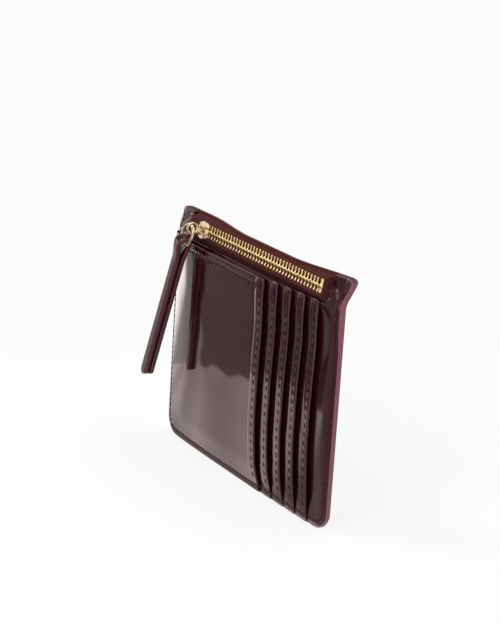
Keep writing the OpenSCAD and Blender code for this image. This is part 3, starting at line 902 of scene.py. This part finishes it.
def sewPocketTop():
    hit = placeAt(carrier(pocketObject), "pocket top seam")
    z = nearTo(hit[2], pocketTop - lip["seam"], lip["play"])
    x = np.arange(math.ceil((-sideX + lip["rowStart"]) / lip["pitch"]),
                  (frontEdge - hem["width"]) / lip["pitch"]) * lip["pitch"]
    ways = turned(np.stack([np.ones_like(x), np.zeros_like(x)], -1), thread["slant"])
    return stitchRow("pocketTopSeam", np.stack([x, np.full_like(x, z)], -1), ways, pocketFront,
                     seamThread, radius=thread["topRadius"])


def sewSlots():
    hit = placeAt(carrier(pocketObject), "slot seam")
    d = nearTo(frontEdge - hit[0], hem["seam"], hem["play"])
    last = (pocketTop - hem["rowEnd"]) / hem["pitch"]
    z = np.arange(hem["firstStitch"], last) * hem["pitch"]
    ways = turned(np.stack([np.zeros_like(z), np.ones_like(z)], -1), thread["slotSlant"])
    faces = [pocketFront] + [lambda x, z, k=k: cardFront(x, z, k) for k in cards]
    rows = [stitchRow("slotSeam%d" % i, np.stack([np.full_like(z, edge - d), z], -1), ways, face,
                      seamThread, length=thread["slotLength"], radius=thread["slotRadius"])
            for i, (edge, face) in enumerate(zip((frontEdge, *slotEdges), faces))]
    return rows[0]


def sewOutline():
    hit = placeAt(carrier(pocketObject, *cardObjects, baseObject), "bottom seam")
    inset = nearTo(hit[2], seamLine["inset"], seamLine["play"])
    places, ways = outlinePath(inset, topZ - seamLine["fromTop"], seamLine["pitch"])
    front = stitchRow("outlineSeam", places, turned(ways, seamLine["turn"]), outerFront,
                      ropeThread, radius=seamLine["thread"])
    stitchRow("outlineSeamBack", places, turned(ways, -seamLine["turn"]), backPanelBack,
              ropeThread, outward=1.0, radius=seamLine["thread"])
    return front


seamRows = {"pocket top seam": sewPocketTop(), "slot seam": sewSlots()}
seamRows["bottom seam"] = seamRows["right seam"] = sewOutline()
print("seams ready")

# wide and deep are a tooth's half width and half depth at the places along its length; the
# saddles are how deep they lie in the upper row, the lower row and the stop's bars
teeth = dict(
    pitch=2.5, headHalf=0.56, sections=12, roundness=0.7, saddles=(0.04, 0.34, 0.1),
    saddleAt=(1.45, 0.55), barFromEnd=0.45,
    along=(-0.45, -0.38, -0.15, 0.2, 0.55, 0.85, 1.25, 1.6, 2.1, 2.5, 2.8, 2.95, 3.0),
    wide=(0.10, 0.56, 0.62, 0.62, 0.52, 0.44, 0.43, 0.43, 0.44, 0.45, 0.42, 0.32, 0.05),
    deep=(0.10, 0.86, 1.02, 1.04, 0.94, 0.84, 0.82, 0.82, 0.84, 0.88, 0.84, 0.62, 0.05))
# the slider's half height and depth set how far the zip lies in front of the back lining; by
# the teeth a tape is flat up to flat from the middle, its inner edge stands half away from
# it, and beyond the chain's stops it closes in
slider = dict(halfHeight=3.9, depth=1.9, play=0.1)
tapeGap = dict(flat=3.65, half=1.4, close=1.38, left=(-49.0, 1.5), right=(56.5, 1.1), fade=2.2,
               play=0.1, seatBelow=0.6)
# columns reach past the window and lie closer at its ends: how far in from each, how many
tapeGrid = dict(past=3, step=1.6, left=(3, 13), right=(4, 18), inset=0.12, fromTop=0.2,
                upperRows=10, lowerRows=14)

zipTilt = zipWindow["tilt"]
sliderTop = zipWindow["middleZ"] + slider["halfHeight"] * math.cos(zipTilt)
zipY = (backLiningY - plies["lining"] + bulge["back"]
        - plies["mouthTuck"] * float(ease((sliderTop - pocketTop) / (topZ - pocketTop)))
        - slider["play"] - slider["depth"] * math.cos(zipTilt)
        - slider["halfHeight"] * math.sin(zipTilt))
flatRise = tapeGap["flat"] * math.cos(zipTilt)


def zipPlane(z):
    return zipY + (z - zipWindow["middleZ"]) * math.tan(zipTilt)


def tapeY(x, z, seat, share):  # flat by the teeth, then eased to its seat between the plies
    end = ease(1 - np.minimum(x - zipWindow["left"], zipWindow["right"] - x) / zipWindow["bend"])
    share = np.maximum(share, end)
    return zipPlane(z) * (1 - share) + seat * share


def upperTape(x, z):
    top = topZ - tapeGap["seatBelow"]
    mid = zipWindow["middleZ"] + flatRise
    seat = behind(x, z, frontLiningY - tapeGap["play"] - zipWindow["tape"] / 2)
    return tapeY(x, z, seat, ease((z - mid) / (top - mid)))


def lowerTape(x, z):
    mid = zipWindow["middleZ"] - flatRise
    seat = ahead(x, z, baseY - tapeGap["play"] - zipWindow["tape"] / 2)
    return tapeY(x, z, seat, ease((mid - z) / (mid - pocketTop)))


def tape(name, node, surface, rows, way):
    # the halves stand apart for the chain and meet again beyond its stops
    g, past, half = tapeGap, tapeGrid["past"], zipWindow["tape"] / 2
    left, right = zipWindow["left"], zipWindow["right"]
    (leftIn, leftCount), (rightIn, rightCount) = tapeGrid["left"], tapeGrid["right"]
    columns = merged(lines(left - past, right + past, tapeGrid["step"]),
                     np.linspace(left - past, left + leftIn, leftCount),
                     np.linspace(right - rightIn, right + past, rightCount))

    def meeting(x, z):
        close = np.maximum(ease((x - g["right"][0]) / g["right"][1]),
                           ease((g["left"][0] - x) / g["left"][1]))
        past = (np.abs(z - zipWindow["middleZ"]) - g["half"]) / g["fade"]
        return way * g["close"] * (close * ease(1 - past))

    obj = buildSheet(name, columns, rows, lambda x, z: surface(x, z) - half,
                     lambda x, z: surface(x, z) + half, [zipCloth],
                     inset=tapeGrid["inset"], levels=4, topShape=meeting)
    return finishPiece(obj, "wallet", "zip_tape", node)


def zipPoint(x, out, up):  # a place in the zip's own tilted plane
    c, s = math.cos(zipTilt), math.sin(zipTilt)
    x, out, up = np.broadcast_arrays(x, out, up)
    return np.stack([x, zipY - out * c + up * s, zipWindow["middleZ"] + out * s + up * c], -1)


def teethShape(starts, side, saddle):
    # one tooth is a rounded bar carried up its length: a head that meets the other row, a
    # waist, and a saddle between the head and the foot that grips the tape
    along, wide, deep = (np.array(teeth[k])[:, None] for k in ("along", "wide", "deep"))
    at, reach = teeth["saddleAt"]
    deep = deep - saddle * np.exp(-((along - at) / reach) ** 2)
    ca, sa = ring(teeth["sections"], teeth["roundness"])
    one = zipPoint(wide * ca, deep * sa, side * along).reshape(1, -1, 3)
    cells = gridQuads(len(along), teeth["sections"], around=True)[:, ::-1 if side > 0 else 1]
    points = one + np.stack([starts, starts * 0, starts * 0], -1)[:, None]
    return points.reshape(-1, 3), repeated(cells, len(starts), one.shape[1])


def teethRow(name, node, side, saddle):
    low, high = cadSpan(node, 0)
    count = int(round((high - low - 2 * teeth["headHalf"]) / teeth["pitch"])) + 1
    starts = low + teeth["headHalf"] + np.arange(count) * teeth["pitch"]
    obj = makeObject(name, *teethShape(starts, side, saddle), [zipBrass])
    return finishPiece(obj, "wallet", "gold_metal", node)


def bottomStop():  # the box stop, formed as one last pair of bars pressed together
    low, high = cadSpan("zip_bottom_stop", 0)
    starts = np.array([low + teeth["barFromEnd"], high - teeth["barFromEnd"]])
    (upper, quads), (lower, others) = (teethShape(starts, side, teeth["saddles"][2])
                                       for side in (1.0, -1.0))
    obj = makeObject("bottomStop", np.concatenate([upper, lower]),
                     np.concatenate([quads, others + len(upper)]), [zipBrass])
    return finishPiece(obj, "wallet", "gold_metal", "zip_bottom_stop")


middleZ = zipWindow["middleZ"]
tape("upperZipTape", "upper_zip_tape", upperTape,
     np.linspace(middleZ + tapeGap["half"], topZ - tapeGrid["fromTop"],
                 tapeGrid["upperRows"]), -1)
tape("lowerZipTape", "lower_zip_tape", lowerTape,
     np.linspace(pocketTop - tapeRoom["tuck"], middleZ - tapeGap["half"],
                 tapeGrid["lowerRows"]), 1)
teethRow("upperZipTeeth", "upper_zip_teeth", 1.0, teeth["saddles"][0])
teethRow("lowerZipTeeth", "lower_zip_teeth", -1.0, teeth["saddles"][1])
stopObject = bottomStop()
shownNodes = dict(zip_top_stops=zipBrass, slider_front_plate=paleGold, slider_back_plate=paleGold,
                  slider_bridge=paleGold, pull_link=paleGold, pull_ring=paleGold)
for node, metal in shownNodes.items():  # CAD pieces that stay as they are, with their own metal
    frame["nodes"][node].data.materials.clear()
    frame["nodes"][node].data.materials.append(metal)
print("zip ready")

strapShape = dict(width=5.2, leaf=2.1, gap=0.5, length=69.0, wire=1.3, ring=4.8, run=9.0,
                  play=0.2, swing=12.0, leanBack=16.0, turnRound=18.0, tip=0.95, sections=28,
                  roundness=2 / 6.0, paintedEdge=0.3, wireShare=0.6, steps=(25, 70, 14),
                  tipHalf=0.2)
tack = dict(half=1.9, thick=0.42, deep=0.3, bow=0.22, lift=0.12, off=0.02, points=15, thin=0.01)


def strapPiece():
    # a flat band carried down one leaf, round the ring's wire and down the other leaf; its
    # section is a squared oval, and its half width follows a circle at both tips
    s = strapShape
    width, leaf, sections = s["width"], s["leaf"], s["sections"]
    loopZ = (s["ring"] - math.sqrt(s["ring"] ** 2 - width ** 2 / 4)) / 2
    mid = s["wireShare"] * s["wire"] + s["play"] + loopZ + leaf / 2
    turnSteps, downSteps, tipSteps = s["steps"]
    turn = np.radians(np.linspace(0, 180, turnSteps))
    end = (1 - s["tip"]) * np.sin(np.linspace(0, np.pi / 2, tipSteps))[1:]
    down = np.concatenate([np.linspace(0, s["tip"], downSteps)[1:], s["tip"] + end])
    legZ = loopZ + (-s["length"] - loopZ) * down
    share = ease((loopZ - legZ) / (s["run"] + loopZ))
    legY = mid + (s["gap"] / 2 + leaf / 2 - mid) * share
    y = np.concatenate([-legY[::-1], -mid * np.cos(turn), legY])
    z = np.concatenate([legZ[::-1], loopZ + mid * np.sin(turn), legZ])
    tip = s["length"] + z
    radius = width / 2
    rounded = np.sqrt(np.maximum(s["tipHalf"] ** 2,
                                 radius ** 2 - (radius - np.maximum(tip, 0)) ** 2))
    half = np.where(tip < radius, rounded, radius)
    path = np.stack([np.zeros_like(y), y, z], -1)
    points, quads = sweepTube(path, half, leaf / 2, (1, 0, 0), sections, s["roundness"])
    t = np.arange(sections // 2 - 1)
    cap = np.stack([t, sections - t - 1, sections - t - 2, t + 1], -1)
    body = len(quads)
    quads = np.concatenate([quads, cap, cap[:, ::-1] + (len(path) - 1) * sections])
    edge = np.repeat(half, sections)[quads[:, 0]] - s["paintedEdge"]
    painted = np.abs(points[quads].mean(1)[:, 0]) > edge
    painted[body:] = True
    return points, quads, painted


def strapFrame():  # the strap's axes and its joint's place, from which it hangs
    s = strapShape
    joint = [j for j in frame["joints"] if j["name"] == "strap_swing"][0]
    turns = [Matrix.Rotation(math.radians(angle), 3, axis) for angle, axis in (
        (-s["leanBack"], "X"), (s["turnRound"], "Y"), (s["swing"], "X"))]
    return np.array(joint["pos_m"]) / mm, np.array(turns[0] @ turns[1] @ turns[2])


def pullStrap():
    points, quads, painted = strapPiece()
    origin, turn = strapFrame()
    obj = makeObject("pullStrap", points @ turn.T + origin, quads, [patentLeather, strapPaint],
                     painted)
    return finishPiece(obj, "strap", "patent_leather", "pull_strap")


def strapTack(strap):
    # one bar of thread across the front leaf, where the image point meets the strap; it bows
    # out by a cosine and thins towards both ends
    origin, turn = strapFrame()
    local = (placeAt(carrier(strap), "strap tack") - origin) @ turn
    s = np.linspace(-1, 1, tack["points"])
    face = -(strapShape["gap"] / 2 + strapShape["leaf"] + tack["off"])
    path = np.stack([tack["half"] * s, face + tack["lift"] - tack["bow"] * np.cos(s * np.pi / 2),
                     np.full_like(s, local[2])], -1)
    thick = tack["thick"] * np.sqrt(np.clip(1 - s ** 4, tack["thin"], 1))
    points, quads = sweepTube(path, thick, tack["deep"], (0, 0, 1), sections=10)
    obj = makeObject("strapTack", points @ turn.T + origin, quads, [tackThread])
    return finishPiece(obj, "strap", "patent_leather")


tackObject = strapTack(pullStrap())
print("puller ready")

studio = dict(white=0.965, dim=0.55, zenith=0.20, fromUp=0.18, toUp=0.46, flag=(0.21, 0.21),
              cardFoot=0.3)
floorSetup = dict(half=600.0, matt=0.88, glow=0.87, fadeFrom=0.12, fadeTo=0.30)
lampSetup = [
    dict(name="frontSoftbox", place=(0.35, -0.85, 0.75), target=(0, 0, 0.06), size=(0.6, 0.5),
         power=5.0),
    dict(name="topSoftbox", place=(0.1, 0.15, 1.0), target=(0, 0, 0.05), size=(0.8, 0.8),
         power=4.0),
    dict(name="topSpot", place=(-0.25, -0.35, 0.75), target=(0, 0, 0.08), size=(0.16, 0.16),
         power=1.6),
]
# reflection cards, seen only in gloss: upright ones stand on a line on the floor, flat ones
# lie on it; a card's brightness runs from low to high along a direction
flagTint, rosyTint = (1.0, 0.87, 0.86), (1.0, 0.88, 0.87)
cardSetup = [
    dict(name="lightCard", line=[(-171, 15), (-171, -58), (-160, -70)], tall=84,
         levels=(0.50, 2.1), along=(0, 1, 0.6), run=(-0.012, 0.012)),
    dict(name="earCard", line=[(-173, 15), (-173, -60), (-161, -73)], tall=220,
         levels=(0.30, 0.62), along=(0, 1, 0), run=(-0.050, -0.020)),
    dict(name="darkFlagFront", line=[(-160, -70), (-148, -80), (-131, -88), (160, -90)], tall=76,
         tint=flagTint),
    # a near-black card that widens the dark reflection in the base panel beside the last slot:
    # painted shade standing in for the hems' shadow there
    dict(name="bandShadeFlag", line=[(-98, -86), (-72, -86)], tall=130, levels=(0.05, 0.05),
         tint=flagTint),
    dict(name="darkFlagHigh", line=[(-66, -92), (14, -92)], tall=175, tint=flagTint),
    dict(name="darkFlagBack", line=[(-200, 15), (-120, 260)], tall=180),
    # a card lying on the floor at the front and left, dimmer than the floor and darkest towards the
    # right: a painted reflection of the floor lying in shade
    dict(name="floorShadeCard", levels=(0.76, 0.26), along=(1, -1, 0), run=(0.014, 0.040),
         tint=rosyTint, streak=0.13,
         corners=[(-171, 15), (-171, -58), (-160, -70), (-148, -80), (-131, -88), (160, -90),
                  (160, -3.4), (-72, -3.4), (-72, 15)]),
    # a dim strip on the floor just in front of the bottom edge: a painted reflection of the floor's
    # contact shadow there
    dict(name="footShadowCard", levels=(0.3, 0.3), lift=0.2,
         corners=[(-73, -3.4), (-73, -5.8), (72, -5.8), (72, -3.4)]),
]
streaks = dict(across=(-0.6, 1.0, 0.0), width=0.032, start=0.020)


def addLamp(name, place, target, size, power):
    data = bpy.data.lights.new(name, "AREA")
    data.shape = "RECTANGLE"
    data.size, data.size_y = size
    data.energy = power
    obj = bpy.data.objects.new(name, data)
    way = (Vector(target) - Vector(place)).to_track_quat("-Z", "Y")
    obj.matrix_world = Matrix.Translation(place) @ way.to_matrix().to_4x4()
    obj.visible_camera = False
    bpy.context.scene.collection.objects.link(obj)


def emptyTree(owner):  # a material's or a world's tree with nothing in it
    owner.use_nodes = True
    owner.node_tree.nodes.clear()
    return owner.node_tree


def cardMaterial(name, levels, along, run, tint, streak):
    # emission along a smooth ramp, times one plus a sine across the streaks
    material = bpy.data.materials.new(name)
    tree = emptyTree(material)
    place = addNode(tree, "TexCoord").outputs["Object"]
    reach, across = (addMath(tree, "DOT_PRODUCT", place, way, kind="VectorMath")
                     for way in (along, streaks["across"]))
    ramp = addRamp(tree, reach, *run, *levels, kind="SMOOTHSTEP")
    turns = 2 * math.pi / streaks["width"]
    angle = addMath(tree, "MULTIPLY_ADD", across, turns, turns * streaks["start"])
    share = addMath(tree, "MULTIPLY_ADD", addMath(tree, "SINE", angle), streak, 1.0)
    level = addMath(tree, "MULTIPLY", ramp, share)
    glow = addNode(tree, "Emission", {"Color": (*tint, 1), "Strength": level})
    addNode(tree, "OutputMaterial", {0: glow.outputs[0]})
    return material


def addCard(name, line=None, tall=0.0, corners=None, lift=0.0, levels=studio["flag"],
            along=(0, 1, 0), run=(0.0, 1.0), tint=(1.0, 0.95, 0.93), streak=0.0):
    places = np.array(line or corners, float)
    points = np.column_stack([places, np.full(len(places), studio["cardFoot"] + lift)])
    faces = [np.arange(len(places))]
    if line:
        points = np.concatenate([points, points + (0, 0, tall)])
        faces = gridQuads(2, len(line))
    card = makeObject(name, points, faces, [cardMaterial(name, levels, along, run, tint, streak)],
                      smooth=False)
    card.visible_camera = card.visible_diffuse = card.visible_shadow = False


def seenRays(tree):  # 1 where a camera, glossy or transmission ray looks at the stage
    rays = addNode(tree, "LightPath").outputs
    near = addMath(tree, "MAXIMUM", rays["Is Camera Ray"], rays["Is Glossy Ray"])
    return addMath(tree, "MAXIMUM", near, rays["Is Transmission Ray"])


def mixShaders(tree, share, one, other):
    return addNode(tree, "MixShader", {0: share, 1: one.outputs[0], 2: other.outputs[0]})


def addWorld():
    # the backdrop: white round the horizon, dimmer overhead; a plain level for diffuse light
    s = studio
    world = bpy.data.worlds.new("studio")
    tree = emptyTree(world)
    place = addNode(tree, "TexCoord").outputs["Generated"]
    up = addNode(tree, "SeparateXYZ", {0: place}).outputs["Z"]
    level = addRamp(tree, up, s["fromUp"], s["toUp"], s["white"], s["zenith"], kind="SMOOTHSTEP")
    seen, lit = (addNode(tree, "Background", {"Color": (1, 1, 1, 1), "Strength": strength})
                 for strength in (level, s["dim"]))
    whole = mixShaders(tree, seenRays(tree), lit, seen)
    addNode(tree, "OutputWorld", {0: whole.outputs[0]})
    bpy.context.scene.world = world


def addFloor():
    # matt white for the light it throws; where it is seen it keeps part of the object's
    # shadow close by and fades into the backdrop's white
    f, white = floorSetup, studio["white"]
    material = bpy.data.materials.new("paleFloor")
    tree = emptyTree(material)
    place = addNode(tree, "TexCoord").outputs["Object"]
    distance = addMath(tree, "LENGTH", place, kind="VectorMath")
    fade = addRamp(tree, distance, f["fadeFrom"], f["fadeTo"])
    matt = addNode(tree, "BsdfDiffuse", {"Color": (f["matt"], f["matt"], f["matt"], 1)})
    glow = addNode(tree, "Emission", {"Color": (white, white, white, 1)})
    seen = mixShaders(tree, fade, mixShaders(tree, f["glow"], matt, glow), glow)
    whole = mixShaders(tree, seenRays(tree), matt, seen)
    addNode(tree, "OutputMaterial", {0: whole.outputs[0]})
    corners = np.array([(-1, -1, 0), (1, -1, 0), (1, 1, 0), (-1, 1, 0)]) * f["half"]
    makeObject("floor", corners, [[0, 1, 2, 3]], [material], smooth=False)


for lamp in lampSetup:
    addLamp(**lamp)
for card in cardSetup:
    addCard(**card)
addWorld()
addFloor()
bpy.context.scene.view_settings.view_transform = "Standard"
print("light and floor ready")

# how near a mesh's point must lie to an image point, or to the first thing its ray meets
reading = dict(near=4.0, besides=3.0, hit=0.0004, tipLeftOf=150, lastTooth=0.9, upper=1.5)


def showing(points):  # which places the camera sees, by a ray to each
    scene = bpy.context.scene
    graph = bpy.context.evaluated_depsgraph_get()
    origin = camera.matrix_world.translation
    kept = []
    for p in points:
        way = Vector(p) - origin
        hit, place = scene.ray_cast(graph, origin, way.normalized())[:2]
        kept.append(not hit or (place - origin).length > way.length - reading["hit"])
    return np.array(kept)


def middleShown(obj, near=None):
    # the middle of what shows of a piece, or of the part of it near an image place
    points = worldPoints(obj)
    at = shownAt(points)
    if near is not None:
        pick = np.linalg.norm(at - np.array(near), axis=1) < reading["near"]
        points, at = points[pick], at[pick]
    if not len(points):
        return None
    seen = showing(points)
    if seen.any():
        at = at[seen]
    return 0.5 * (at.min(0) + at.max(0))


def writePoints():
    pieces = [o for o in bpy.context.scene.objects if o.type == "MESH" and o.visible_camera
              and not o.hide_render and o.name != "floor"]
    whole = np.concatenate([shownAt(worldPoints(o)) for o in pieces])
    low, high = whole.min(0), whole.max(0)
    leather = np.concatenate([shownAt(worldPoints(o))
                              for o in (backObject, baseObject, outlineObject)])
    tipSide = whole[:, 0] < reading["tipLeftOf"]
    last = worldPoints(stopObject)
    last = last[(last[:, 0] > last[:, 0].max() - reading["lastTooth"] * mm)
                & (last[:, 2] > (middleZ + reading["upper"]) * mm)]
    leftCorner = np.array([[-(sideX - 1), float(lean(-sideX, topZ)), topZ]]) * mm
    found = {
        "object left": (low[0], None), "object right": (high[0], None),
        "object top": (None, low[1]), "object bottom": (None, high[1]),
        "top left corner": shownAt(leftCorner)[0],
        "top right corner": leather[np.argmax(leather[:, 0])],
        "strap tip": whole[np.argmax(np.where(tipSide, whole[:, 1], 0))],
        "ring": middleShown(frame["nodes"]["pull_ring"]),
        "link": middleShown(frame["nodes"]["pull_link"]),
        "slider": middleShown(frame["nodes"]["slider_front_plate"]),
        "strap tack": middleShown(tackObject),
        "last upper tooth": shownAt(last).mean(0),
    }
    for name in ("right side, upper", "right side, lower"):
        y = imagePoints[name][1]
        found[name] = (leather[np.abs(leather[:, 1] - y) < reading["besides"]][:, 0].max(), y)
    for name, row in seamRows.items():
        found[name] = middleShown(row, imagePoints[name])


bpy.context.view_layer.update()
writePoints()
